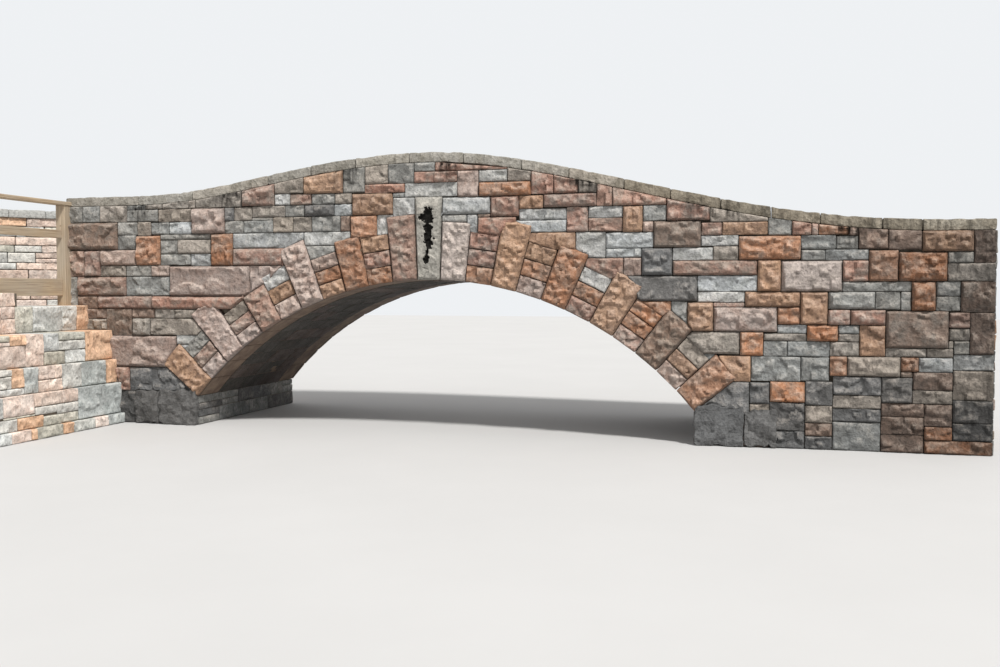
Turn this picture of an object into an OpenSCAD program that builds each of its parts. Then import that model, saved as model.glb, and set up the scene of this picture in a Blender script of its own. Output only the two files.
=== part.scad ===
// Stone arch footbridge with S-curved copings, a battered wing wall, a timber
// rail fence and a curved approach wall. Millimetres. +X runs along the bridge to
// its lower end, +Y from the shown face to the far face, +Z up.
// Every module works from the middle of the arch at the foot of the shown face;
// place() then moves the whole bridge so that its bounding box stands on the origin.

/* [Arch] */
// clear span between the two jambs
arch_span = 5250; // [4400:10:5800]
// rise of the soffit above the springing
arch_rise = 1240; // [1000:10:1400]
// height of the springing above the foot of the walls
springing_z = 310; // [150:10:600]
// radial thickness of the barrel behind the face rings
vault_t = 180; // [150:5:260]
// joint between neighbouring ring stones
ring_joint = 9; // [4:1:14]
// how far the pitched ring stones stand out of the wall face
ring_proud = 36; // [10:1:44]
// how far the packs of small ring stones stand out
pack_proud = 14; // [5:1:25]
// share of a ring stone's outline left flat inside the pitched margin
ring_pitch = 0.84; // [0.7:0.01:0.95]

/* [Ring stones] */
// width of the keystone on the soffit
key_w = 240; // [180:5:320]
// radial length of the keystone
key_len = 820; // [600:10:900]
// radial lengths of the six long stones left of the keystone, crown to springing
left_len = [650, 520, 650, 420, 650, 530];
// radial lengths of the six long stones right of the keystone, crown to springing
right_len = [575, 660, 575, 560, 520, 500];
// radial depths of the five packs of small stones left of the keystone
left_pack = [480, 420, 490, 400, 440];
// radial depths of the five packs of small stones right of the keystone
right_pack = [490, 500, 460, 430, 420];
// small stones stacked in each pack
pack_count = 3; // [2:1:4]

/* [Bridge] */
// width of the bridge from face to face
bridge_w = 2100; // [1700:10:3000]
// thickness of the face walls and parapets
wall_t = 350; // [250:5:450]
// length of the bridge left of the opening
left_run = 1615; // [1400:5:2200]
// length of the bridge right of the opening
right_run = 2555; // [2300:5:3200]
// middle part of the walls and copings, left of the arch axis
crown_left = 1280; // [1100:10:1600]
// middle part of the walls and copings, right of the arch axis
crown_right = 1420; // [1100:10:1600]
// thickness of the paving on the deck
deck_t = 85; // [60:5:150]
// height of the coping top above the paving
parapet_h = 1000; // [800:10:1200]

/* [Bold blocks] */
// how far the boldest blocks of the faces swell out of them
bold_proud = 40; // [15:1:44]
// set-back of a block's upper half from its lower half
bold_pitch = 18; // [10:1:30]
// boldest blocks, as seen: left edge and bottom from the arch axis and foot, length, height
bold_blocks = [
  [-4220, 1900, 620, 260], [-3980, 1610, 160, 250], [-3780, 1730, 410, 130],
  [-4080, 1400, 580, 170], [-3820, 1260, 640, 100], [-3140, 1260, 520, 100],
  [-3330, 1730, 260, 280], [-2650, 2060, 360, 220], [-2420, 1730, 210, 280],
  [-2920, 1400, 890, 280], [-3390, 980, 180, 140], [-3640, 630, 590, 300],
  [-2150, 1720, 490, 140], [-2050, 2340, 340, 120], [-1340, 2450, 400, 130],
  [-800, 2220, 400, 180], [-820, 2020, 250, 160], [160, 2210, 460, 130],
  [540, 2390, 490, 90], [530, 2020, 190, 130], [660, 2180, 250, 160],
  [1190, 2260, 480, 90], [1960, 2020, 150, 190], [2250, 1860, 400, 210],
  [2140, 1600, 250, 220], [2160, 1360, 460, 200], [2430, 1580, 730, 140],
  [2620, 1090, 150, 230], [2700, 870, 310, 180], [2810, 1080, 530, 230],
  [3030, 1740, 510, 180], [3090, 1310, 450, 100], [3410, 1450, 490, 240],
  [3550, 1150, 230, 250], [3640, 1000, 230, 110], [3820, 1290, 360, 120],
  [3990, 740, 410, 90], [4010, 1150, 260, 100], [4310, 950, 480, 290],
  [4410, 1540, 360, 240], [4520, 1280, 160, 220], [4600, 1800, 380, 140]];

/* [Coping] */
// coping height lost from the crown to the left end
drop_left = 355; // [150:5:500]
// coping height lost from the crown to the right end
drop_right = 750; // [300:5:800]
// length of the left S-curve
curve_left = 3300; // [2600:10:3600]
// length of the right S-curve
curve_right = 4800; // [3600:10:4850]
// easing exponent of the left S-curve
ease_left = 1.10; // [0.8:0.01:1.3]
// easing exponent of the right S-curve
ease_right = 0.88; // [0.8:0.01:1.3]
// thickness of the coping slabs
coping_t = 100; // [70:5:150]
// overhang of the coping past the wall on each side
coping_over = 45; // [10:1:60]
// lengths of the coping slabs of the left part, stretched to fill it
left_slabs = [920, 660, 890, 490];
// lengths of the coping slabs of the middle part
crown_slabs = [490, 580, 570, 590, 470];
// lengths of the coping slabs of the right part
right_slabs = [525, 435, 460, 450, 430, 530, 330, 600];
// joint between coping slabs
slab_joint = 6; // [3:1:12]

/* [Footings] */
// length of the rough footing along the wall
footing_l = 740; // [500:10:1000]
// footing standing forward of the face
footing_out = 110; // [60:5:200]
// height of the footing
footing_h = 380; // [250:10:450]
// height of the footing's lower course
footing_low = 200; // [120:10:300]
// set-back of the footing's upper course at its outer end
footing_back = 90; // [40:5:150]
// set-back of the footing's upper course beside the opening
footing_reveal = 15; // [5:1:40]

/* [Wing wall] */
// height of the wing wall
wing_h = 1270; // [900:10:1500]
// length of the wing wall forward of the bridge
wing_l = 2120; // [2100:10:3000]
// clear gap between the footing and the wing wall's toe
wing_gap = 165; // [60:5:300]
// thickness of the wing wall at its top
wing_top_t = 560; // [400:10:800]
// joint between the wing wall and the face wall
wing_joint = 5; // [3:1:12]
// share of the wing wall's height taken by each course, from the bottom up
wing_courses = [0.08, 0.26, 0.20, 0.25, 0.21];
// set-back of the top course behind the toe
wing_batter = 460; // [300:10:600]
// height of the block raised along the front of its top, at the end away from the bridge
raised_h = 140; // [80:5:200]
// thickness of the raised block
raised_t = 180; // [100:5:185]
// start of the raised block, forward of the bridge
raised_from = 1120; // [800:10:1600]
// share of the top course's set-back reached by each course
wing_steps = [0, 0.09, 0.21, 0.33, 1];

/* [Fence] */
// side of the square posts
post_side = 115; // [90:5:150]
// length of the bay between the posts
bay = 1760; // [1200:10:1800]
// height of the fence above the wing wall
fence_h = 1142; // [900:1:1300]
// thickness of the boards
board_t = 38; // [25:1:50]
// width of the cap board
cap_w = 140; // [115:1:190]
// width of the lower board
lower_w = 140; // [90:5:190]
// width of the middle rail
middle_w = 89; // [60:1:140]
// width of the batten on the lower board
batten_w = 45; // [30:1:70]
// underside of the lower board above the wing wall
lower_gap = 112; // [60:1:200]
// underside of the middle rail above the wing wall
middle_gap = 740; // [500:5:900]
// middle of the fence behind the edge of the top course
fence_back = 245; // [150:5:320]
// first post in front of the face wall
post_gap = 35; // [20:1:80]

/* [Approach wall] */
// straight length before the curve
lead = 650; // [300:10:1200]
// inner radius of the curve
approach_r = 1450; // [1000:10:2200]
// coping slabs around the curve
approach_slabs = 5; // [3:1:8]

/* [Hidden] */
step = 140;
eps = 1;
grip = 5;
overcut = 60;
vault_skin = 0.5;
fill_start = 500;
deck_crown = springing_z + arch_rise + vault_t + deck_t;
coping_crown = deck_crown + parapet_h;
left_top = coping_crown - drop_left;
right_top = coping_crown - drop_right;
half_span = arch_span / 2;
left_end = half_span + left_run;
right_end = half_span + right_run;
wing_toe = half_span + footing_l + wing_gap;
fence_x = wing_toe + wing_batter + fence_back;
radius = (half_span * half_span + arch_rise * arch_rise) / (2 * arch_rise);
centre_z = springing_z + arch_rise - radius;
spring_angle = atan2(half_span, radius - arch_rise);
key_angle = asin(key_w / 2 / radius);
units = 11;
unit_angle = (spring_angle - key_angle) / units;
joint_angle = ring_joint / 2 / radius * 180 / PI;
coping_w = wall_t + 2 * coping_over;
arc_x = -left_end - lead;
arc_y = bridge_w - wall_t - approach_r;
approach_out = approach_r + wall_t;
box_left = left_end + lead + approach_out + coping_over;
box_front = wing_l;
box_back = bridge_w + coping_over;
shift_x = (box_left - right_end) / 2;
shift_y = (box_front - box_back) / 2;
wood = [0.66, 0.55, 0.40];
grey = [0.66, 0.65, 0.62];
rust = [0.74, 0.52, 0.42];
pale = [0.72, 0.70, 0.66];
dark = [0.42, 0.42, 0.42];

// height of the coping top at a distance x from the arch axis
function ease(x, l, p) = x >= l ? 0 : (1 + cos(180 * pow(x / l, p))) / 2;
function top_z(x) = x < 0
  ? left_top + drop_left * ease(-x, curve_left, ease_left)
  : right_top + drop_right * ease(x, curve_right, ease_right);
function deck_z(x) = top_z(x) - parapet_h;

// stations from a to b for a curved edge
function stations(a, b) = let (n = max(1, ceil((b - a) / step))) [for (i = [0:n]) a + (b - a) * i / n];
function curve_up(a, b, down) = [for (x = stations(a, b)) [x, top_z(x) - down]];
function curve_back(a, b, down) = let (s = stations(a, b), n = len(s) - 1)
  [for (i = [0:n]) [s[n - i], top_z(s[n - i]) - down]];

// sum of a list up to and with entry i
function total(v, i) = i < 0 ? 0 : v[i] + total(v, i - 1);

// a point of the ring at an angle from the arch axis
function ring_pt(a, r) = [r * sin(a), centre_z + r * cos(a)];
function quad(a0, a1, r0, r1) = [ring_pt(a0, r0), ring_pt(a1, r0), ring_pt(a1, r1), ring_pt(a0, r1)];
function unit_start(k) = key_angle + k * unit_angle;
function middle(p) = (p[0] + p[1] + p[2] + p[3]) / 4;
function shrink(p, s) = [for (q = p) middle(p) + (q - middle(p)) * s];

module place() {
  translate([shift_x, shift_y, 0]) children();
}

// stands a flat outline drawn in X and Z between y0 and y1
module upright(y0, y1) {
  translate([0, y1, 0]) rotate([90, 0, 0]) linear_extrude(y1 - y0) children();
}

module arch_void(extra) {
  translate([0, centre_z]) circle(r = radius + extra, $fn = 180);
}

module opening() {
  intersection() {
    arch_void(0);
    translate([-half_span, springing_z]) square([arch_span, arch_rise + eps]);
  }
  translate([-half_span, -eps]) square([arch_span, springing_z + eps + 0.01]);
}

// outline of the whole ring, grown by a joint, that the face wall is built around
module ring_hole() {
  polygon(quad(-key_angle, key_angle, radius - overcut, radius + key_len + ring_joint / 2));
  for (s = [-1, 1]) {
    long = s < 0 ? left_len : right_len;
    pack = s < 0 ? left_pack : right_pack;
    for (k = [0:units - 1]) {
      depth = k % 2 == 0 ? long[k / 2] : pack[(k - 1) / 2];
      polygon(quad(s * (unit_start(k) - joint_angle), s * (unit_start(k + 1) + joint_angle),
        radius - overcut, radius + depth + ring_joint / 2));
    }
  }
}

module wall_outline(a, b) {
  difference() {
    polygon(concat([[a, 0], [b, 0]], curve_back(a, b, coping_t)));
    opening();
    ring_hole();
  }
}

module wall(a, b, far) {
  y = far ? bridge_w - wall_t : 0;
  color(rust) place() {
    upright(y, y + wall_t) wall_outline(a, b);
    for (layer = [1, 2]) {
      out = layer * bold_proud / 2;
      inset = (layer - 1) * bold_pitch;
      upright(far ? bridge_w - grip : -out, far ? bridge_w + out : grip) intersection() {
        wall_outline(a, b);
        for (block = bold_blocks) translate([block[0] + inset, block[1] + inset])
          square([block[2] - 2 * inset, block[3] - 2 * inset]);
      }
    }
  }
}

// a pitched stone: full outline through the wall, a smaller flat standing proud
module pitched(p, far) {
  y = far ? bridge_w - wall_t : 0;
  face = far ? bridge_w : -ring_proud;
  hull() {
    upright(y, y + wall_t) polygon(p);
    upright(face, face + ring_proud) polygon(shrink(p, ring_pitch));
  }
}

module keystone(far) {
  a = key_angle - joint_angle;
  color(grey) place() pitched(quad(-a, a, radius, radius + key_len), far);
}

module long_stones(s, long, far) {
  color(rust) place() for (k = [0:5]) {
    a0 = unit_start(2 * k) + joint_angle;
    a1 = unit_start(2 * k + 1) - joint_angle;
    pitched(quad(s * a0, s * a1, radius, radius + long[k]), far);
  }
}

module packs(s, pack, far) {
  y0 = far ? bridge_w - wall_t : -pack_proud;
  y1 = far ? bridge_w + pack_proud : wall_t;
  color(rust) place() upright(y0, y1) for (k = [0:4]) {
    a0 = unit_start(2 * k + 1) + joint_angle;
    a1 = unit_start(2 * k + 2) - joint_angle;
    h = pack[k] / pack_count;
    for (i = [0:pack_count - 1])
      polygon(quad(s * a0, s * a1, radius + i * h + (i > 0 ? ring_joint : 0), radius + (i + 1) * h));
  }
}

module coping(a, b, slabs, far) {
  n = len(slabs) - 1;
  fit = (b - a) / total(slabs, n);
  y = far ? bridge_w - wall_t - coping_over : -coping_over;
  color(grey) place() upright(y, y + coping_w) for (i = [0:n]) {
    x0 = a + fit * total(slabs, i - 1) + (i > 0 ? slab_joint : 0);
    x1 = a + fit * total(slabs, i);
    polygon(concat(curve_up(x0, x1, coping_t), curve_back(x0, x1, 0)));
  }
}

module vault() {
  n = 36;
  color(grey) place() upright(wall_t, bridge_w - wall_t) polygon(concat(
    [for (i = [0:n]) ring_pt(spring_angle * (2 * i / n - 1), radius)],
    [for (i = [0:n]) ring_pt(spring_angle * (1 - 2 * i / n), radius + vault_t)]));
}

module fill(a, b) {
  color(dark) place() upright(wall_t, bridge_w - wall_t) difference() {
    polygon(concat([[a, 0], [b, 0]], curve_back(a, b, parapet_h + deck_t)));
    opening();
    intersection() {
      arch_void(vault_t + vault_skin);
      polygon([[0, centre_z], ring_pt(-spring_angle, 3 * radius), ring_pt(spring_angle, 3 * radius)]);
    }
  }
}

module left_abutment() {
  fill(-left_end, -fill_start);
}

module right_abutment() {
  fill(fill_start, right_end);
}

module deck() {
  color(grey) place() upright(wall_t, bridge_w - wall_t) polygon(concat(
    curve_up(-left_end, right_end, parapet_h + deck_t),
    curve_back(-left_end, right_end, parapet_h)));
}

module front_wall_left() {
  wall(-left_end, -crown_left, false);
}

module front_wall_crown() {
  wall(-crown_left, crown_right, false);
}

module front_wall_right() {
  wall(crown_right, right_end, false);
}

module back_wall_left() {
  wall(-left_end, -crown_left, true);
}

module back_wall_crown() {
  wall(-crown_left, crown_right, true);
}

module back_wall_right() {
  wall(crown_right, right_end, true);
}

module front_keystone() {
  keystone(false);
}

module front_long_stones_left() {
  long_stones(-1, left_len, false);
}

module front_long_stones_right() {
  long_stones(1, right_len, false);
}

module front_packs_left() {
  packs(-1, left_pack, false);
}

module front_packs_right() {
  packs(1, right_pack, false);
}

module back_keystone() {
  keystone(true);
}

module back_long_stones_left() {
  long_stones(-1, left_len, true);
}

module back_long_stones_right() {
  long_stones(1, right_len, true);
}

module back_packs_left() {
  packs(-1, left_pack, true);
}

module back_packs_right() {
  packs(1, right_pack, true);
}

module front_coping_left() {
  coping(-left_end, -crown_left - slab_joint, left_slabs, false);
}

module front_coping_crown() {
  coping(-crown_left, crown_right - slab_joint, crown_slabs, false);
}

module front_coping_right() {
  coping(crown_right, right_end, right_slabs, false);
}

module back_coping_left() {
  coping(-left_end, -crown_left - slab_joint, left_slabs, true);
}

module back_coping_crown() {
  coping(-crown_left, crown_right - slab_joint, crown_slabs, true);
}

module back_coping_right() {
  coping(crown_right, right_end, right_slabs, true);
}

// rough courses under the springing, standing forward of the face
module footing(s) {
  far_end = half_span + footing_l;
  upper_end = far_end - footing_back;
  upper_start = half_span + footing_reveal;
  color(dark) place() upright(-footing_out, 0)
    polygon([[s * half_span, 0], [s * far_end, 0], [s * far_end, footing_low],
      [s * upper_end, footing_low], [s * upper_end, footing_h],
      [s * upper_start, footing_h], [s * upper_start, footing_low], [s * half_span, footing_low]]);
}

module left_footing() {
  footing(-1);
}

module right_footing() {
  footing(1);
}

module wing_wall() {
  n = len(wing_courses) - 1;
  edge = -wing_toe - wing_batter;
  heel = edge - wing_top_t;
  color(pale) place() {
    upright(-wing_l, -wing_joint) for (i = [0:n]) {
      z0 = wing_h * total(wing_courses, i - 1) / total(wing_courses, n);
      z1 = wing_h * total(wing_courses, i) / total(wing_courses, n);
      face = -wing_toe - wing_batter * wing_steps[i];
      polygon([[heel, z0], [face, z0], [face, z1], [heel, z1]]);
    }
    upright(-wing_l, -raised_from) translate([edge - raised_t, wing_h - grip])
      square([raised_t, raised_h + grip]);
  }
}

post_y0 = -post_gap - post_side;
post_y1 = post_y0 - bay - post_side;
bay_y0 = post_y1 + post_side;
rail_x = -fence_x - board_t / 2;

module fence_posts() {
  for (y = [post_y0, post_y1])
    color(wood) place() translate([-fence_x - post_side / 2, y, wing_h])
      cube([post_side, post_side, fence_h - board_t]);
}

module fence_cap() {
  color(wood) place() translate([-fence_x - cap_w / 2, post_y1, wing_h + fence_h - board_t])
    cube([cap_w, bay + 2 * post_side, board_t]);
}

module fence_middle_rail() {
  color(wood) place() translate([rail_x, bay_y0, wing_h + middle_gap]) cube([board_t, bay, middle_w]);
}

module fence_lower_board() {
  color(wood) place() translate([rail_x, bay_y0, wing_h + lower_gap]) cube([board_t, bay, lower_w]);
}

module fence_batten() {
  color(wood) place() translate([rail_x, bay_y0, wing_h + lower_gap + lower_w])
    cube([board_t, bay, batten_w]);
}

module approach_wall_lead() {
  color(rust) place() translate([arc_x, bridge_w - wall_t, 0]) cube([lead, wall_t, left_top - coping_t]);
}

module quarter(r0, r1, z0, z1, a0, a1) {
  translate([arc_x, arc_y, z0]) rotate([0, 0, a0])
    rotate_extrude(angle = a1 - a0, $fn = 96) translate([r0, 0]) square([r1 - r0, z1 - z0]);
}

module approach_wall_curve() {
  color(rust) place() quarter(approach_r, approach_out, 0, left_top - coping_t, 90, 180);
}

module approach_coping_lead() {
  color(grey) place() translate([arc_x, bridge_w - wall_t - coping_over, left_top - coping_t])
    cube([lead - slab_joint, coping_w, coping_t]);
}

module approach_coping_curve() {
  joint = slab_joint / approach_r * 180 / PI;
  sweep = 90 / approach_slabs;
  color(grey) place() for (i = [0:approach_slabs - 1])
    quarter(approach_r - coping_over, approach_out + coping_over, left_top - coping_t, left_top,
      90 + i * sweep + joint, 90 + (i + 1) * sweep);
}

vault();
left_abutment();
right_abutment();
deck();
front_wall_left();
front_wall_crown();
front_wall_right();
back_wall_left();
back_wall_crown();
back_wall_right();
front_keystone();
front_long_stones_left();
front_long_stones_right();
front_packs_left();
front_packs_right();
back_keystone();
back_long_stones_left();
back_long_stones_right();
back_packs_left();
back_packs_right();
front_coping_left();
front_coping_crown();
front_coping_right();
back_coping_left();
back_coping_crown();
back_coping_right();
left_footing();
right_footing();
wing_wall();
fence_posts();
fence_cap();
fence_middle_rail();
fence_lower_board();
fence_batten();
approach_wall_lead();
approach_wall_curve();
approach_coping_lead();
approach_coping_curve();
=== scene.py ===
"""Looks of a small stone arch footbridge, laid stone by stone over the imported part."""

import math
import random

import bmesh
import bpy
import numpy as np
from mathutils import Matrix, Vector, noise


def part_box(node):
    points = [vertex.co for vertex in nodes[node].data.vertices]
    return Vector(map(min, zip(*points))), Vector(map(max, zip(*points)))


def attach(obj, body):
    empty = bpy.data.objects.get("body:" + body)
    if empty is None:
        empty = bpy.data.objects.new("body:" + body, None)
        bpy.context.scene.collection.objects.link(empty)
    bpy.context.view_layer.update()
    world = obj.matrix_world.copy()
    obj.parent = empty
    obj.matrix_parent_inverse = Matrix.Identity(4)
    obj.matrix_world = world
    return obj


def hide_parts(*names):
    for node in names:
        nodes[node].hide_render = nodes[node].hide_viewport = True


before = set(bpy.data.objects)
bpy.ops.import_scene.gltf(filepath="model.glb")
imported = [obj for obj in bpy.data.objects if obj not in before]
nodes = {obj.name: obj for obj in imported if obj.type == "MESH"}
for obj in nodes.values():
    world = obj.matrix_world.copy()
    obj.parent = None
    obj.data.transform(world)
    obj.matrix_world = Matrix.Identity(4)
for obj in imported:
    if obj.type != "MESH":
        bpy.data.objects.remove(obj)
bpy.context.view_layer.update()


# Setting out. The stones are laid from the arch axis, the shown face, the arch curve
# and the underside of the coping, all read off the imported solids.
def islands(node):
    """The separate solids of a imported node, as lists of corner points."""
    bm = bmesh.new()
    bm.from_mesh(nodes[node].data)
    bmesh.ops.remove_doubles(bm, verts=bm.verts, dist=0.0001)
    found = []
    left = set(bm.verts)
    while left:
        todo = [left.pop()]
        corners = []
        while todo:
            vert = todo.pop()
            corners.append(vert.co.copy())
            for edge in vert.link_edges:
                other = edge.other_vert(vert)
                if other in left:
                    left.remove(other)
                    todo.append(other)
        found.append(corners)
    bm.free()
    return sorted(found, key=lambda corners: min(tuple(c) for c in corners))


def line_of(names, lowest):
    """Heights of a long curved edge, as stations along the bridge."""
    heights = {}
    for name in names:
        for corners in islands(name):
            for c in corners:
                x = round(c.x - axis_x, 4)
                z = heights.get(x, c.z)
                heights[x] = min(z, c.z) if lowest else max(z, c.z)
    stations = sorted(heights)
    return stations, [heights[x] for x in stations]


key_low, key_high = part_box("front_keystone")
wall_low, wall_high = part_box("front_wall_left")
axis_x = (key_low.x + key_high.x) / 2
face_y = wall_low.y
wall_t = wall_high.y - wall_low.y
back_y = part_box("back_wall_left")[1].y
depth = back_y - face_y
left_end = wall_low.x - axis_x
right_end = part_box("front_wall_right")[1].x - axis_x
half_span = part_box("right_footing")[0].x - axis_x
spring_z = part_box("vault")[0].z
soffit_z = max(c.z for c in islands("vault")[0] if abs(c.z - key_low.z) < 0.02)
rise = soffit_z - spring_z
radius = (half_span ** 2 + rise ** 2) / (2 * rise)
centre_z = soffit_z - radius
spring_angle = math.atan2(half_span, radius - rise)
COPINGS = ("front_coping_left", "front_coping_crown", "front_coping_right")
under_line = line_of(COPINGS, True)
deck_line = line_of(["deck"], False)


def under(x):
    """Underside of the coping at a distance x from the arch axis."""
    return float(np.interp(x, *under_line))


def deck(x):
    return float(np.interp(x, *deck_line))


def polar(x, z):
    """Angle from the arch axis and distance from the arch centre."""
    return math.atan2(x, z - centre_z), math.hypot(x, z - centre_z)


# Mortar and backing. The walls are built of coursed blocks with their joints raked
# back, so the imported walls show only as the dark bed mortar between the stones.
def linear(code):
    """A six-figure sRGB code as linear colour."""
    values = [int(code[i:i + 2], 16) / 255 for i in (0, 2, 4)]
    return [v / 12.92 if v <= 0.04045 else ((v + 0.055) / 1.055) ** 2.4 for v in values]


def add(owner, kind, values=None, links=None, **settings):
    """Adds a shader node, sets its sockets and links earlier nodes or sockets to it."""
    tree = owner.node_tree
    node = tree.nodes.new("ShaderNode" + kind)
    for key, value in settings.items():
        setattr(node, key, value)
    for key, value in (values or {}).items():
        node.inputs[key].default_value = value
    for key, source in (links or {}).items():
        tree.links.new(getattr(source, "outputs", [source])[0], node.inputs[key])
    return node


def blank(name):
    material = bpy.data.materials.new(name)
    material.use_nodes = True
    material.node_tree.nodes.clear()
    return material


def grainy(name, dark, light, scale, roughness, bump_mm):
    """A plain mottled surface: two tones, fine grain and a shallow bump."""
    material = blank(name)
    place = add(material, "TexCoord").outputs["Object"]
    broad = add(material, "TexNoise", {"Scale": scale, "Detail": 5.0, "Roughness": 0.6},
                {"Vector": place})
    fine = add(material, "TexNoise", {"Scale": 160.0, "Detail": 3.0}, {"Vector": place})
    tone = add(material, "MapRange", {"From Min": 0.35, "From Max": 0.65}, {"Value": broad})
    colour = add(material, "Mix", {6: (*linear(dark), 1), 7: (*linear(light), 1)},
                 {0: tone}, data_type="RGBA")
    bump = add(material, "Bump", {"Strength": 1.0, "Distance": bump_mm / 1000}, {"Height": fine})
    shader = add(material, "BsdfPrincipled", {"Roughness": roughness, "IOR": 1.5},
                 {"Base Color": colour.outputs[2], "Normal": bump})
    add(material, "OutputMaterial", links={"Surface": shader})
    return material


# lime mortar with sand, weathered and in shade
mortar = grainy("lime_mortar", "564e45", "7b7265", 9.0, 0.95, 2.0)
# brown sandstone of the barrel and of the undersides of the arch stones, darkened as painted shade
dressed = grainy("dressed_sandstone_painted_shade", "5c4b3f", "7d6a5a", 7.0, 0.85, 2.0)
WALLS = [f"{side}_wall_{part}" for side in ("front", "back") for part in ("left", "crown", "right")]
WALLS += ["approach_wall_lead", "approach_wall_curve", "wing_wall", "left_abutment",
          "right_abutment", "deck"]
RINGS = [f"{side}_{part}" for side in ("front", "back") for part in (
    "keystone", "long_stones_left", "long_stones_right", "packs_left", "packs_right")]
for names, look in ((WALLS, mortar), ([*RINGS, "vault"], dressed)):
    for name in names:
        nodes[name].data.materials.clear()
        nodes[name].data.materials.append(look)


# Face stones. Salmon, buff and grey sandstone blocks, split with hammer and pitching
# tool so that each face swells out from a drafted edge, bedded in lime mortar.
KINDS = {
    # main tone, tone of its patches, swell in mm, boldness of the split face
    "o": ("9d6d4e", "9c8474", 38, 1.0),
    "r": ("9a7667", "95887e", 38, 1.0),
    "y": ("a8886f", "967b69", 38, 1.0),
    "u": ("887264", "786e65", 36, 1.0),
    "p": ("a99b93", "9c867b", 36, 1.0),
    "g": ("949491", "7d7c78", 24, 0.7),
    "l": ("b1b2b2", "979895", 22, 0.6),
    "t": ("958c83", "847d74", 27, 0.8),
    "d": ("71706f", "595857", 30, 0.9),
    "n": ("877265", "6e6057", 30, 0.9),
    "w": ("b8aba3", "968b83", 32, 0.9),
}
# width of a mortar joint, the hair joint left round a ring stone that is packed with its
# own joints, and how deep a stone reaches into the wall
JOINT = 0.006
HAIR = 0.001
SINK = 0.03
# bevel of a block's corners, how often its edges are broken and how far they stray
CORNER = 0.006
BREAK = 0.075
STRAY = 0.003
# drafted margin of a plain and of a bold block, and under what gap its corners are merged
MARGIN = 0.009
BOLD_MARGIN = 0.020
FOLD = 0.011
# least height of a bold block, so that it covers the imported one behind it
COVER = 0.0425
# smallest piece of a block that is kept when it is trimmed, in square metres
CRUMB = 0.0011
# how finely a split face is broken up: on the shown face, on the far side and where the
# walls are plain
FINE = 0.018
PLAIN = 0.034
COARSE = 0.045
# how much lighter or darker, and warmer or cooler, one block is than the next
SHADES = (0.86, 1.14)
WARMTH = 0.03


def slit(bm, point, normal, clear=False):
    """Cuts flat faces along a line, and can drop what lies past it."""
    bmesh.ops.bisect_plane(bm, geom=bm.verts[:] + bm.edges[:] + bm.faces[:], dist=0.00001,
                           plane_co=point, plane_no=normal, clear_outer=clear)


def outline_distance(points, sides):
    """Distance of each point from the nearest side of an outline."""
    best = np.full(len(points), 9.0)
    for a, b in sides:
        along = b - a
        share = np.clip(((points - a) @ along) / max(along @ along, 1e-12), 0, 1)
        best = np.minimum(best, np.linalg.norm(points - a - share[:, None] * along, axis=1))
    return best


def facets(points, low, high, swell, bold, rng, small):
    """Height of a split face: a few tilted breaks, the lower one showing where two meet."""
    area = (high[0] - low[0]) * (high[1] - low[1])
    count = 3 + int(area / 0.0045 if small else math.sqrt(area / 0.004))
    spots = low + (high - low) * np.array([[rng.random(), rng.random()] for _ in range(count)])
    turns = np.array([rng.choice((-1, 1)) * rng.gauss(math.pi / 2, 0.6) for _ in range(count)])
    slope = bold * min(1, 0.08 / math.sqrt(area / count))
    leans = np.array([rng.uniform(0.12, 0.7) for _ in range(count)]) * slope
    tops = swell * np.array([rng.uniform(0.8, 1.35) for _ in range(count)])
    away = points[:, None, :] - spots[None, :, :]
    reach = np.linalg.norm(away, axis=2)
    level = tops + away[:, :, 0] * np.cos(turns) * leans + away[:, :, 1] * np.sin(turns) * leans
    near = reach < np.maximum(reach.min(axis=1, keepdims=True) * 1.35, 0.03)
    return np.minimum(np.where(near, level, 9.0).min(axis=1), swell * 1.3)


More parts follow.
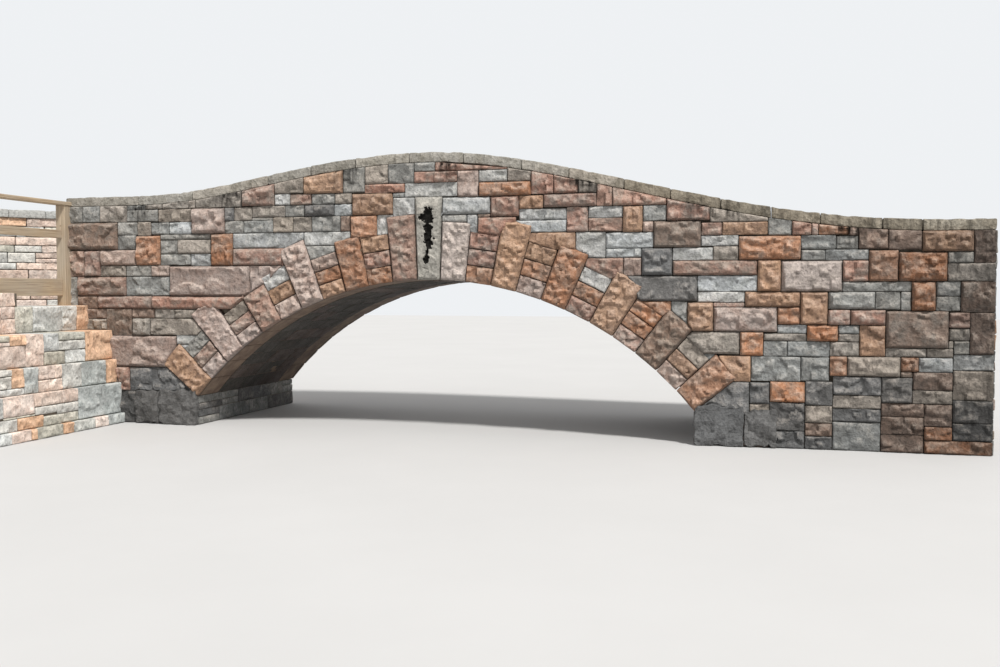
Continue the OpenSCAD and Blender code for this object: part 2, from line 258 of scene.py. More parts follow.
def stone(corners, kind, rng, cell, joint=JOINT, cut=None, lift=0.0, flat=False, sink=SINK,
          small=False):
    """One block as a closed solid: outline in u and v, split face standing up in w."""
    swell, bold = KINDS[kind[0]][2] / 1000, KINDS[kind[0]][3]
    proud = "*" in kind
    small = small or proud and kind[0] in "oy"
    if proud:
        swell = swell * 0.3 + 0.044
        bold += 0.3
    if flat:
        swell, bold = swell * 0.45, bold * 0.3
    swell *= rng.uniform(0.85, 1.15)
    bm = bmesh.new()
    bmesh.ops.create_grid(bm, x_segments=1, y_segments=1, size=0.5)
    centre = sum((Vector(c) for c in corners), Vector((0, 0))) / 4
    for vert in bm.verts:
        at = corners[(0 if vert.co.y < 0 else 3) if vert.co.x < 0 else (1 if vert.co.y < 0 else 2)]
        inward = Vector((math.copysign(joint / 2, centre.x - at[0]),
                         math.copysign(joint / 2, centre.y - at[1])))
        vert.co = (at[0] + inward.x, at[1] + inward.y, 0)
    if cut is not None:
        cut(bm)
    bmesh.ops.dissolve_degenerate(bm, dist=0.004, edges=bm.edges[:])
    crumbs = [f for f in bm.faces if f.calc_area() < CRUMB]
    bmesh.ops.delete(bm, geom=crumbs, context="FACES")
    if not bm.faces:
        bm.free()
        return None
    bmesh.ops.bevel(bm, geom=bm.verts[:], offset=CORNER, affect="VERTICES", segments=1,
                    profile=0.5, material=-1)
    for edge in bm.edges[:]:
        pieces = int(edge.calc_length() / BREAK)
        if pieces:
            bmesh.ops.bisect_edges(bm, edges=[edge], cuts=pieces)
    seed = rng.uniform(0, 90)
    for vert in bm.verts:
        at = Vector((vert.co.x * 14, vert.co.y * 14, seed))
        vert.co.x += noise.noise(at) * STRAY
        vert.co.y += noise.noise(at + Vector((0, 0, 50))) * STRAY
    sides = [(np.array(e.verts[0].co[:2]), np.array(e.verts[1].co[:2])) for e in bm.edges]
    low = np.min([v.co[:2] for v in bm.verts], axis=0)
    high = np.max([v.co[:2] for v in bm.verts], axis=0)
    if min(high - low) > 0.05:
        bmesh.ops.inset_region(bm, faces=bm.faces[:], thickness=BOLD_MARGIN if proud else MARGIN,
                               use_boundary=True, use_even_offset=False)
        # the margin folds over itself at a short corner, so its inner corners are merged
        inner = [v for v in bm.verts if not v.is_boundary]
        bmesh.ops.remove_doubles(bm, verts=inner, dist=FOLD)
    for axis in (0, 1):
        count = max(int((high[axis] - low[axis]) / cell), 1)
        for i in range(1, count):
            at = low[axis] + (high[axis] - low[axis]) * (i + rng.uniform(-0.25, 0.25)) / count
            normal = Vector((1, 0, 0)) if axis == 0 else Vector((0, 1, 0))
            slit(bm, normal * at, normal)
    points = np.array([v.co[:2] for v in bm.verts])
    off = outline_distance(points, sides)
    arris = 0.014 if proud else swell * rng.uniform(0.45, 0.65)
    least = np.minimum(arris + off * 1.5, COVER) if proud else arris * 0.8
    height = arris + off * (0.6 + 0.9 * bold) * rng.uniform(0.9, 1.3)
    height = np.minimum(height, facets(points, low, high, swell, bold, rng, small))
    hold = np.clip(off / 0.02, 0.15, 1)
    for i, vert in enumerate(bm.verts):
        at = Vector((vert.co.x, vert.co.y, 0))
        broad = noise.noise(at * 9 + Vector((seed, 0, 0)))
        lump = noise.noise(at * 22 + Vector((0, seed, 0)))
        chip = abs(noise.noise(at * 40 + Vector((seed, seed, 0))))
        rough = bold * (broad * 0.008 + lump * 0.007 - chip * 0.004)
        height[i] += hold[i] * rough
    for vert, top in zip(bm.verts, np.maximum(height, least)):
        vert.co.z = lift + top
    rim = [e for e in bm.edges if e.is_boundary]
    made = bmesh.ops.extrude_edge_only(bm, edges=rim)["geom"]
    for item in made:
        if isinstance(item, bmesh.types.BMVert):
            item.co.z = -sink
    bmesh.ops.holes_fill(bm, edges=[e for e in bm.edges if e.is_boundary], sides=0)
    return bm


def join(whole, part):
    """Moves a finished solid into a larger mesh."""
    scratch = bpy.data.meshes.new("scratch")
    part.to_mesh(scratch)
    part.free()
    whole.from_mesh(scratch)
    bpy.data.meshes.remove(scratch)


class Masonry:
    """Gathers finished stones into one mesh and remembers the tone of each."""

    def __init__(self):
        self.bm = bmesh.new()
        self.counts, self.tones, self.patches, self.soils, self.painted_lights = [], [], [], [], []

    def lay(self, bm, kind, rng, place, lightness=1.0, bedded=True):
        """Sets one stone in place and notes its tones, the painted shade low in its joints and the
        painted light on its face.
        """
        if bm is None:
            return
        depths = np.array([v.co.z for v in bm.verts])
        for vert in bm.verts:
            vert.co = place(*vert.co)
        # a place that mirrors the stone turns it inside out, so it is turned back
        bm.normal_update()
        bmesh.ops.recalc_face_normals(bm, faces=bm.faces[:])
        if bm.calc_volume(signed=True) < 0:
            bmesh.ops.reverse_faces(bm, faces=bm.faces[:])
        bm.normal_update()
        # painted light: faces turned up are lightened and faces turned down darkened, as light from
        # above falls on them
        painted_top_light = np.clip(0.42 + 1.1 * np.array([v.normal.z for v in bm.verts]), 0, 1)
        join(self.bm, bm)
        main, patch = [linear(code) for code in KINDS[kind[0]][:2]]
        shade = rng.uniform(*SHADES) * lightness
        warm = rng.uniform(-WARMTH, WARMTH)
        tint = (1 + warm, 1, 1 - warm)
        share = rng.uniform(0, 0.4)
        mixed = [a * (1 - share) + b * share for a, b in zip(main, patch)]
        self.counts.append(len(depths))
        self.tones.append([c * shade * t for c, t in zip(mixed, tint)] + [rng.random()])
        self.patches.append([c * shade * t for c, t in zip(patch, tint)] + [rng.random()])
        # painted shade: the sides of a stone that sink into its joint are darkened
        self.soils.append(np.clip((0.002 - depths) / 0.012, 0, 1) * bedded * (depths.min() > -0.05))
        # painted highlight on the highest parts of a face, fading darker towards its drafted margin;
        # slabs that are not bedded get one even, darker level of painted light
        painted_crest_highlight = np.clip(depths / depths.max() * 1.6 - 0.6, 0, 1)
        self.painted_lights.append(painted_crest_highlight * 0.45 + painted_top_light * 0.55 if bedded else np.full(len(depths), 0.2))

    def block(self, corners, kind, rng, place, cell, lightness=1.0, **shape):
        """Cuts one block and lays it."""
        self.lay(stone(corners, kind, rng, cell, **shape), kind, rng, place, lightness)

    def fill(self, length, height, rng, mix, place, cell, widths=(20, 46), heights=(12, 15, 19),
             start=(0, 0), lightness=1.0, **shape):
        """Lays a plain stretch of wall in random courses, from its lower left corner."""
        for u0, u1, v0, v1, kind in fill_wall(length, height, rng, mix, widths, heights):
            corners = corners_of(start[0] + u0, start[0] + u1, start[1] + v0, start[1] + v1)
            self.block(corners, kind, rng, place, cell, lightness, **shape)

    def build(self, name, material, stain_and_shade=None):
        """Makes the finished piece, with tone, patch, painted joint shade, painted light and stains
        (some with painted shade) on its points.
        """
        mesh = bpy.data.meshes.new(name)
        self.bm.to_mesh(mesh)
        self.bm.free()
        for key, values in (("stone", self.tones), ("patch", self.patches)):
            layer = mesh.attributes.new(key, "FLOAT_COLOR", "POINT")
            layer.data.foreach_set("color", np.repeat(np.array(values), self.counts, axis=0).ravel())
        for key, values in (("soil", self.soils), ("painted_light", self.painted_lights)):
            layer = mesh.attributes.new(key, "FLOAT", "POINT")
            layer.data.foreach_set("value", np.concatenate(values))
        points = np.zeros(len(mesh.vertices) * 3)
        mesh.vertices.foreach_get("co", points)
        points = points.reshape(-1, 3) - (axis_x, face_y, 0)
        marks = np.zeros(len(points)) if stain_and_shade is None else stain_and_shade(points)
        mesh.attributes.new("stain_and_shade", "FLOAT", "POINT").data.foreach_set("value", marks)
        mesh.polygons.foreach_set("use_smooth", [True] * len(mesh.polygons))
        mesh.set_sharp_from_angle(angle=math.radians(22))
        mesh.materials.append(material)
        piece = bpy.data.objects.new(name, mesh)
        bpy.context.scene.collection.objects.link(piece)
        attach(piece, "root")
        return piece


def split_stone(name, roughness, patchy, bump_mm):
    """Split or dressed stone whose tones come from the block it belongs to, with painted light and
    shade laid over them.
    """
    material = blank(name)
    own, other, soil, stain_and_shade, painted_light = [add(material, "Attribute", attribute_name=key)
                                      for key in ("stone", "patch", "soil", "stain_and_shade", "painted_light")]
    place = add(material, "TexCoord").outputs["Object"]
    moved = add(material, "VectorMath", {1: (41, 17, 29)},
                {0: own.outputs["Alpha"], 2: place}, operation="MULTIPLY_ADD")
    broad = add(material, "TexNoise", {"Scale": 7.5, "Detail": 8.0, "Roughness": 0.7,
                "Distortion": 0.3}, {"Vector": moved})
    patches = add(material, "MapRange", {"From Min": 0.44, "From Max": 0.6,
                  "To Max": patchy}, {"Value": broad})
    base = add(material, "Mix", links={0: patches,
               6: own.outputs["Color"], 7: other.outputs["Color"]}, data_type="RGBA")
    mottle = add(material, "TexNoise", {"Scale": 34.0, "Detail": 6.0, "Roughness": 0.7},
                 {"Vector": moved})
    shade = add(material, "MapRange", {"From Min": 0.3, "From Max": 0.7,
                "To Min": 0.64, "To Max": 1.32}, {"Value": mottle})
    # painted light: lighter on crests and upper faces, darker at margins and undersides
    bright = add(material, "MapRange", {"To Min": 0.62, "To Max": 1.36},
                 {"Value": painted_light.outputs["Fac"]})
    breaks = add(material, "TexNoise", {"Scale": 17.0, "Detail": 7.0, "Roughness": 0.6,
                 "Offset": 1.0, "Gain": 1.4}, {"Vector": moved}, noise_type="RIDGED_MULTIFRACTAL")
    # painted shade: darker in the hollows of the finest bump, lighter on its ridges
    painted_hollow_shade = add(material, "MapRange", {"From Min": 0.3, "From Max": 1.5, "To Min": 0.88,
                 "To Max": 1.1}, {"Value": breaks})
    lit = add(material, "Math", links={0: shade, 1: painted_hollow_shade}, operation="MULTIPLY")
    both = add(material, "Math", links={0: lit, 1: bright}, operation="MULTIPLY")
    toned = add(material, "VectorMath", links={0: base.outputs[2], "Scale": both}, operation="SCALE")
    # painted highlight: the crests are mixed towards a pale tone
    highlight_mask = add(material, "Math", links={0: painted_light.outputs["Fac"], 1: mottle}, operation="MULTIPLY")
    painted_highlight = add(material, "MapRange", {"From Min": 0.25, "From Max": 0.62, "To Max": 0.38},
                {"Value": highlight_mask})
    pale = add(material, "Mix", {7: (*linear("cfc3b6"), 1)}, {0: painted_highlight, 6: toned}, data_type="RGBA")
    # painted shade, dark on a stone's sides where they sink into the joints
    joint_shaded = add(material, "Mix", {7: (*linear("3a342d"), 1)},
               {0: soil.outputs["Fac"], 6: pale.outputs[2]}, data_type="RGBA")
    # soot and lichen streaks from the stain attribute, which also carries painted shade at the right
    # end of the face and in the keystone's cleft
    streaks = add(material, "Mapping", {"Scale": (26, 26, 3.5)}, {"Vector": place})
    runs = add(material, "TexNoise", {"Scale": 1.0, "Detail": 4.0}, {"Vector": streaks})
    reach = add(material, "Math", links={0: stain_and_shade.outputs["Fac"], 1: runs}, operation="MULTIPLY")
    drip_and_shade = add(material, "MapRange", {"From Min": 0.28, "From Max": 0.6, "To Max": 0.96},
               {"Value": reach})
    marked = add(material, "Mix", {7: (*linear("0e0d0c"), 1)},
                 {0: drip_and_shade, 6: joint_shaded.outputs[2]}, data_type="RGBA")
    chips = add(material, "TexVoronoi", {"Scale": 46.0, "Randomness": 1.0}, {"Vector": moved})
    first = add(material, "Bump", {"Strength": 1.0, "Distance": bump_mm / 1000}, {"Height": mottle})
    second = add(material, "Bump", {"Strength": 0.8, "Distance": bump_mm / 2000},
                 {"Height": chips, "Normal": first})
    third = add(material, "Bump", {"Strength": 1.0, "Distance": bump_mm / 3000},
                {"Height": breaks, "Normal": second})
    matt = add(material, "MapRange", {"To Min": 0.5, "To Max": 0.05}, {"Value": drip_and_shade})
    shader = add(material, "BsdfPrincipled", {"Roughness": roughness, "IOR": 1.5},
                 {"Base Color": marked.outputs[2], "Normal": third,
                  "Specular IOR Level": matt})
    add(material, "OutputMaterial", links={"Surface": shader})
    return material


def ring_bays():
    """Angles and outer radius of every unit of the arch ring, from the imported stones."""
    bays = []
    for name in RINGS[:5]:
        low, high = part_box(name)
        for corners in islands(name):
            flat = [polar(c.x - axis_x, c.z) for c in corners if c.y > high.y - 0.001]
            first = min(a for a, r in flat)
            last = max(a for a, r in flat)
            reach = max(r for a, r in flat)
            same = [b for b in bays if abs(b[0] + b[1] - first - last) < 0.02]
            if same:
                same[0][2] = max(same[0][2], reach)
            else:
                bays.append([first, last, reach])
    return sorted(bays)


bays = ring_bays()
half_joint = (bays[1][0] - bays[0][1]) / 2
for bay in bays:
    bay[0] -= half_joint
    bay[1] += half_joint
    bay[2] += half_joint


def in_opening(x, z):
    """Whether a point of the face lies in the arch ring or the opening under it."""
    if z < spring_z and abs(x) < half_span:
        return True
    angle, reach = polar(x, z)
    if z >= spring_z and reach < radius:
        return True
    return any(first <= angle <= last and reach * math.cos(angle - (first + last) / 2) <
               edge * math.cos((last - first) / 2) for first, last, edge in bays)


def trim(bm):
    """Cuts a block of a face wall to the coping, the arch ring and the jambs."""
    xs = [v.co.x for v in bm.verts]
    zs = [v.co.y for v in bm.verts]
    x0, x1, z0, z1 = min(xs), max(xs), min(zs), max(zs)
    if z1 > min(under(x0), under(x1)) - JOINT:
        slope = (under(x1) - under(x0)) / (x1 - x0)
        slit(bm, Vector((x0, under(x0) - JOINT / 2, 0)), Vector((-slope, 1, 0)), True)
    for first, last, edge in bays:
        mid = (first + last) / 2
        reach = edge * math.cos((last - first) / 2)
        box_x = sorted((edge * math.sin(first), edge * math.sin(last),
                        radius * math.sin(first), radius * math.sin(last)))
        top = centre_z + edge * max(math.cos(first), math.cos(last))
        if box_x[3] < x0 or box_x[0] > x1 or top < z0:
            continue
        out = Vector((math.sin(mid), math.cos(mid), 0))
        slit(bm, Vector((0, centre_z, 0)) + out * reach, out)
        for angle in (first, last):
            slit(bm, Vector((0, centre_z, 0)), Vector((math.cos(angle), -math.sin(angle), 0)))
    if z0 < spring_z and x0 < half_span and x1 > -half_span:
        slit(bm, Vector((0, spring_z, 0)), Vector((0, 1, 0)))
        for x in (-half_span, half_span):
            slit(bm, Vector((x, 0, 0)), Vector((1, 0, 0)))
    inside = [f for f in bm.faces if in_opening(*f.calc_center_median()[:2])]
    bmesh.ops.delete(bm, geom=inside, context="FACES")
    bmesh.ops.dissolve_faces(bm, faces=bm.faces[:], use_verts=True)


def settle(block, laid):
    """Draws a block back where it would lie over one that is laid already."""
    x0, x1, z0, z1 = block
    for a0, a1, b0, b1 in laid:
        over_x = min(x1, a1) - max(x0, a0)
        over_z = min(z1, b1) - max(z0, b0)
        if over_x <= 0 or over_z <= 0:
            continue
        if over_x < over_z:
            x0, x1 = (x0, a0) if x0 + x1 < a0 + a1 else (a1, x1)
        else:
            z0, z1 = (z0, b0) if z0 + z1 < b0 + b1 else (b1, z1)
    return x0, x1, z0, z1


def broken_courses(taken, rng, widths, heights, least):
    """Fills the free centimetres of a wall with random broken courses of blocks."""
    rows, columns = taken.shape
    found = []
    for row in range(rows):
        column = 0
        while column < columns:
            if taken[row, column]:
                column += 1
                continue
            free = 1
            while column + free < columns and not taken[row, column + free] and free < widths[1] * 2:
                free += 1
            width = rng.randint(*widths)
            if free < width + least * 2:
                width = free
            tall = 1
            height = rng.choice(heights)
            while row + tall < rows and tall < height + least and \
                    not taken[row + tall, column:column + width].any():
                tall += 1
            if tall < height + least and row + tall <= rows:
                height = tall
            taken[row:row + height, column:column + width] = True
            if width >= least and height >= least:
                found.append((column, column + width, row, row + height))
            column += width
    return found


def pick(rng, mix):
    """One kind letter, by weight."""
    return rng.choices(list(mix), weights=list(mix.values()))[0]


# a course taller than this has some of its blocks laid as two thin ones
PAIR_HEIGHT = 0.13
PAIR_SHARE = 0.35


def fill_wall(length, height, rng, mix, widths, heights):
    """Coursed blocks for a plain wall, in metres, with their kinds; some are laid in pairs."""
    found = []
    v = 0.0
    while v < height - 0.01:
        top = v + rng.choice(heights) / 100
        if height - top < heights[0] / 100:
            top = height
        u = 0.0
        while u < length - 0.01:
            end = u + rng.uniform(*widths) / 100
            if length - end < widths[0] / 120:
                end = length
            if top - v > PAIR_HEIGHT and rng.random() < PAIR_SHARE:
                middle = v + (top - v) * rng.uniform(0.4, 0.6)
                found.append((u, end, v, middle, pick(rng, mix)))
                found.append((u, end, middle, top, pick(rng, mix)))
            else:
                found.append((u, end, v, top, pick(rng, mix)))
            u = end
        v = top
    return found


def corners_of(u0, u1, v0, v1):
    return [(u0, v0), (u1, v0), (u1, v1), (u0, v1)]


# salmon, buff and grey sandstone with a split face
sandstone = split_stone("split_sandstone", 0.92, 0.85, 9.0)

# blocks of the shown face read from the picture, in cm from the arch axis and from
# the foot: left, right, bottom, top (C means up to the coping), kind and * for a bold one
LEFT = """
-424 -402 218 C g;-402 -380 218 C g;-380 -346 218 C t;-346 -323 231 C g;-346 -307 218 231 g
-323 -302 231 C t;-302 -270 231 C t;-307 -268 217 231 t;-270 -262 231 C t;-262 -207 231 C t
-267 -227 204 230 p*;-227 -216 217 231 d;-424 -358 188 218 u*;-358 -333 204 218 g
-333 -316 204 218 t;-316 -294 204 218 g;-294 -267 204 217 l;-358 -335 188 204 g
-335 -305 171 203 o*;-305 -244 198 204 g;-305 -284 183 198 g;-284 -244 183 198 t
-244 -219 171 203 o*;-424 -400 159 188 r;-400 -380 159 188 r*;-380 -335 171 188 p*
-305 -268 171 183 g;-268 -244 171 183 l;-380 -348 159 171 t;-348 -316 159 171 g
-316 -294 159 171 p;-294 -198 138 170 p*;-422 -410 126 159 g;-410 -348 138 159 r*
-348 -294 138 159 g;-411 -384 126 138 n;-384 -316 124 138 r*;-316 -244 124 138 r*
-398 -373 113 125 n;-398 -373 101 113 t;-372 -341 96 124 u;-341 -313 114 124 n
-313 -289 114 124 t;-289 -262 114 124 t;-341 -319 96 114 t*;-319 -255 96 114 t
-366 -287 61 95 p*;-287 -251 86 96 l;-287 -255 80 86 l;-361 -345 35 61 r;-345 -278 35 61 d
-357 -265 0 35 d
"""
ARCH = """
-207 -169 232 C r*;-169 -136 244 C t;-136 -92 243 C y*;-92 -68 251 C g;-68 -43 251 C t
-43 -15 251 C g;-15 7 262 C g;-15 29 251 262 r;-169 -151 232 244 l;-151 -127 233 243 r
-127 -101 232 243 g;-101 -82 232 242 t;-101 -49 242 251 l;-49 -25 242 251 r;-25 29 237 251 l
-82 -38 220 242 y*;-38 -15 221 237 l;-216 -195 217 231 t;-195 -157 220 232 t
-157 -135 220 232 g;-135 -102 220 232 d*;-102 -82 220 232 l;-226 -205 204 217 g
-205 -171 204 220 g;-171 -148 204 220 t;-148 -127 204 220 t;-127 -95 204 220 g
-95 -84 204 220 n;-84 -55 200 220 o*;-55 -42 204 220 l;-218 -136 188 204 l
-136 -94 190 204 l;-217 -163 170 188 r*;-132 -102 174 190 g;-198 -161 150 170 p
7 81 261 C r;30 52 237 261 p;52 81 250 261 l;81 105 250 C t;52 105 237 250 o*
105 127 237 C r;127 151 237 C r;151 169 238 C t;169 184 225 C r;184 235 224 C r
14 64 219 236 l*;64 93 216 236 r*;93 117 224 236 y;117 169 224 237 r*;94 140 212 223 l
140 161 200 223 r;161 194 213 224 l;162 194 200 213 r;194 213 200 223 y*;214 235 209 224 g
212 223 200 209 p;223 267 184 209 u*;14 40 213 219 l;40 51 200 219 l;51 74 200 217 r*
105 140 200 212 l;104 149 184 200 y;149 178 184 200 l;178 223 184 199 l;178 212 175 184 l
195 212 167 175 p;162 195 165 183 r;212 241 158 184 d*;211 264 134 158 d*
"""
RIGHT = """
235 275 209 C r*;275 327 207 C t;267 286 195 209 r;286 327 195 208 y;327 348 194 C g
348 365 194 C r;365 371 194 C r;371 397 194 C o;267 301 185 195 l;301 356 172 194 o*
356 386 181 194 g;356 377 171 181 g;377 414 171 181 g;241 278 174 184 l;278 300 174 185 t
241 318 156 174 r*;318 339 143 171 y*;339 392 143 171 w*;264 318 143 156 l
264 307 133 143 l;307 356 129 143 y*;209 240 117 134 o;240 255 117 134 g
255 279 107 134 y*;279 336 106 133 p*;337 353 115 129 o;353 380 113 142 y*
335 362 105 115 l;324 362 98 105 t;362 389 98 113 o*;252 303 85 107 t*;303 324 85 106 o
324 345 84 98 g;345 382 84 98 g;257 284 72 85 g;284 313 60 84 y;313 357 66 84 g
357 381 66 84 g;275 312 28 60 d;397 405 193 C r;405 430 180 C n;430 458 180 C n
458 500 178 C y*;500 518 168 C n;386 405 180 193 g;414 439 152 180 o*;439 479 152 180 o*
479 500 168 178 g;479 518 152 168 t;392 414 153 171 r;392 449 143 153 g
380 420 127 143 g*;420 441 127 143 g;441 450 127 143 g;450 470 126 152 o*
470 490 139 152 g;470 490 126 139 g;490 518 125 152 u;380 399 113 127 r
399 429 113 127 r*;429 481 93 126 u*;481 498 116 125 r;498 518 93 125 n;389 407 105 113 g
389 407 98 105 t;407 429 85 113 y;382 407 85 98 t;429 458 85 93 t;381 397 72 85 o
397 442 72 85 t*;442 452 72 84 o
"""


def entries(text):
    """The fields of each block in one of the lists."""
    return [entry.split() for entry in text.replace("\n", ";").split(";") if entry]


def read_blocks(text):
    """Turns such a list into blocks in metres, each clear of the others, and their kinds."""
    laid, kinds = [], []
    for x0, x1, z0, z1, kind in entries(text):
        x0, x1, z0 = int(x0) / 100, int(x1) / 100, int(z0) / 100
        z1 = max(under(x0), under(x1)) + 0.01 if z1 == "C" else int(z1) / 100
        block = settle((x0, x1, z0, z1), laid)
        if block[1] - block[0] > 0.03 and block[3] - block[2] > 0.03:
            laid.append(block)
            kinds.append(kind)
    return laid, kinds


def face_cells(laid):
    """The face in square centimetres: 0 free, 1 ring, opening or coping, from 2 on a block."""
    columns = int(round((right_end - left_end) * 100))
    rows = int(max(under_line[1]) * 100) + 1
    cells = np.zeros((rows, columns), int)
    for column in range(columns):
        x = left_end + (column + 0.5) / 100
        cells[max(int(round(under(x) * 100)), 0):, column] = 1
        for row in range(rows):
            if not cells[row, column] and in_opening(x, (row + 0.5) / 100):
                cells[row, column] = 1
    for i, (x0, x1, z0, z1) in enumerate(laid):
        area = cells[max(round(z0 * 100), 0):round(z1 * 100),
                     max(round((x0 - left_end) * 100), 0):round((x1 - left_end) * 100)]
        area[:] = i + 2
    return cells


def gaps(laid, rng, widths, heights, least):
    """Blocks for what is left of a bridge face between the ring, coping and laid blocks."""
    found = broken_courses(face_cells(laid) > 0, rng, widths, heights, least)
    return [(left_end + a / 100, left_end + b / 100, c / 100, d / 100) for a, b, c, d in found]


def grow(laid, most):
    """Widens blocks centimetre by centimetre into the free slivers beside them."""
    cells = face_cells(laid)
    rows, columns = cells.shape
    grown = []
    for x0, x1, z0, z1 in laid:
        grown.append([round((x0 - left_end) * 100), round((x1 - left_end) * 100),
                      round(z0 * 100), min(round(z1 * 100), rows)])
    for _ in range(most):
        for i, block in enumerate(grown):
            a, b, c, d = block
            strips = ((0, -1, a > 0, cells[c:d, a - 1:a]), (1, 1, b < columns, cells[c:d, b:b + 1]),
                      (2, -1, c > 0, cells[c - 1:c, a:b]), (3, 1, d < rows, cells[d:d + 1, a:b]))
            for side, step, room, strip in strips:
                if room and (strip == 0).any() and ((strip < 2) | (strip == i + 2)).all():
                    block[side] += step
                    strip[:] = i + 2
                    a, b, c, d = block
                    break
    return [(left_end + a / 100, left_end + b / 100, c / 100,
             max(old[3], d / 100)) for (a, b, c, d), old in zip(grown, laid)]


def drips_and_end_shade(points):
    """How strongly soot and lichen run down the face under the coping, and how much painted shade
    darkens its right end.
    """
    below = np.interp(points[:, 0], *under_line) - points[:, 2]
    band = 0.35 + 0.65 * np.clip(np.sin(points[:, 0] * 5.1) + 0.4 * np.sin(points[:, 0] * 13), 0, 1)
    # painted shade, deepening over the right end of the face
    painted_end_shadow = np.clip((points[:, 0] - 4.1) / (right_end - 4.1), 0, 1) * 0.7
    return np.maximum(np.clip(1 - below / 0.42, 0, 1) * band, painted_end_shadow)


def front(u, v, w):
    return Vector((axis_x + u, face_y - w, v))


rng = random.Random(11)
blocks, kinds = read_blocks(LEFT + ARCH + RIGHT)
blocks = grow(blocks, 5)
low_mix = {"d": 5, "n": 3, "g": 3, "t": 2, "o": 1}
for least in (8, 4, 3):
    for block in gaps(blocks, rng, (22, 48), (12, 16, 20, 26), least):
        blocks.append(block)
        kinds.append(pick(rng, low_mix if block[2] < 0.6 else {"t": 3, "g": 3, "u": 2, "r": 1, "l": 1}))
    blocks = grow(blocks, 12)
front_wall = Masonry()
for block, kind in zip(blocks, kinds):
    # painted shade: blocks are laid darker towards the right end of the face
    painted_end_shade = 1 - 0.52 * np.clip(((block[0] + block[1]) / 2 - 3.9) / (right_end - 3.9), 0, 1)
    # blocks whose tops lie near the foot are laid darker
    low_darkening = 0.8 if block[3] < 0.5 else 1.0
    front_wall.block(corners_of(*block), kind, rng, front, FINE, low_darkening * painted_end_shade, cut=trim)
front_wall.build("front_wall_stones", sandstone, drips_and_end_shade)


# Arch ring. Six long pitched stones a side with packs of three small ones between
# them, dressed to the arch on their undersides and split on the face.
def ring_outline(corners, far_y):
    """The four corners of a ring stone on the face, the inner edge first."""
    flat = {(round(c.x - axis_x, 4), round(c.z, 4)) for c in corners if abs(c.y - far_y) < 0.001}
    ordered = sorted(flat, key=lambda p: polar(*p)[1])
    inner = sorted(ordered[:2])
    outer = sorted(ordered[2:4])
    corners = [Vector(c) for c in (inner[0], inner[1], outer[1], outer[0])]
    middle = sum(corners, Vector((0, 0))) / 4
    return [c + (c - middle).normalized() * 0.0025 for c in corners]


def lay_ring(masonry, names, kinds_of, rng, place, far_y, cell):
    for name in names:
        parts = islands(name)
        parts.sort(key=lambda corners: (round(abs(polar(
            sum(c.x for c in corners) / len(corners) - axis_x,
            sum(c.z for c in corners) / len(corners))[0]), 2), min(c.z for c in corners)))
        for i, corners in enumerate(parts):
            kind = kinds_of[name][i % len(kinds_of[name])]
            masonry.block(ring_outline(corners, far_y), kind, rng, place, cell, joint=HAIR, small=True)


# kinds from the crown outward, each pack from the arch edge up
RING_KINDS = {
    "long_stones_left": "r* o* p* r* p* y*".split(),
    "long_stones_right": "w* y* o* y* u* o*".split(),
    "packs_left": list("oryyoppylprtprg"),
    "packs_right": list("orrpoyrolroopyt"),
}
rng = random.Random(3)
ring = Masonry()
names = [name for name in RINGS[:5] if name != "front_keystone"]
lay_ring(ring, names, {f"front_{k}": v for k, v in RING_KINDS.items()}, rng, front,
         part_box("front_long_stones_left")[1].y, FINE)
ring.build("front_ring_stones", sandstone)


# Keystone. One tall block of grey stone, split on its face, with a cleft carved down its
# upper half where a seam has weathered out, and painted black there as shade.
KINDS["k"] = ("b3afa6", "98948c", 20, 0.6)
CLEFT = ((0.010, 2.17, 0.038, 0.07), (-0.045, 2.165, 0.03, 0.028), (0.006, 2.03, 0.029, 0.085),
         (0.012, 1.91, 0.031, 0.04), (-0.004, 1.83, 0.01, 0.04), (-0.012, 1.75, 0.022, 0.036))


def cleft(x, z):
    """How deep in the seam a point of the keystone lies, from 0 to 1; it carves the cleft and sets its
    painted shade.
    """
    ragged = 1 + 0.6 * noise.noise(Vector((x * 22, z * 22, 3))) + \
        0.5 * noise.noise(Vector((x * 55, z * 55, 7)))
    return max(min(max(1.35 - math.hypot((x - a) / wide, (z - b) / tall) * ragged, 0) * 2.2, 1)
               for a, b, wide, tall in CLEFT)


# painted shade: the cleft is painted nearly black
def painted_cleft_shade(points):
    return np.array([6 * cleft(x, z) for x, _, z in points])


keystone = Masonry()
outline = ring_outline(islands("front_keystone")[0], key_high.y)
block = stone(outline, "k*", rng, 0.009, joint=HAIR)
for vert in block.verts:
    if vert.co.z > 0:
        vert.co.z -= 0.030 * cleft(vert.co.x, vert.co.y)
keystone.lay(block, "k", rng, front)
keystone.build("front_keystone_block", sandstone, painted_cleft_shade)


# Coping. Slabs of grey-buff stone as wide as the parapet and its drips, with worn tops
# and split edges, bedded end to end so that they follow the curve.
KINDS["c"] = ("b3ada3", "8f897e", 10, 1)
KINDS["e"] = ("bbb4a9", "968f82", 10, 1)
KINDS["m"] = ("aaa191", "7c7364", 10, 1)
# the slabs are palest from a little left of the crown, and darkest towards the low end
PALEST = -1.0
DARKEST = 1.9


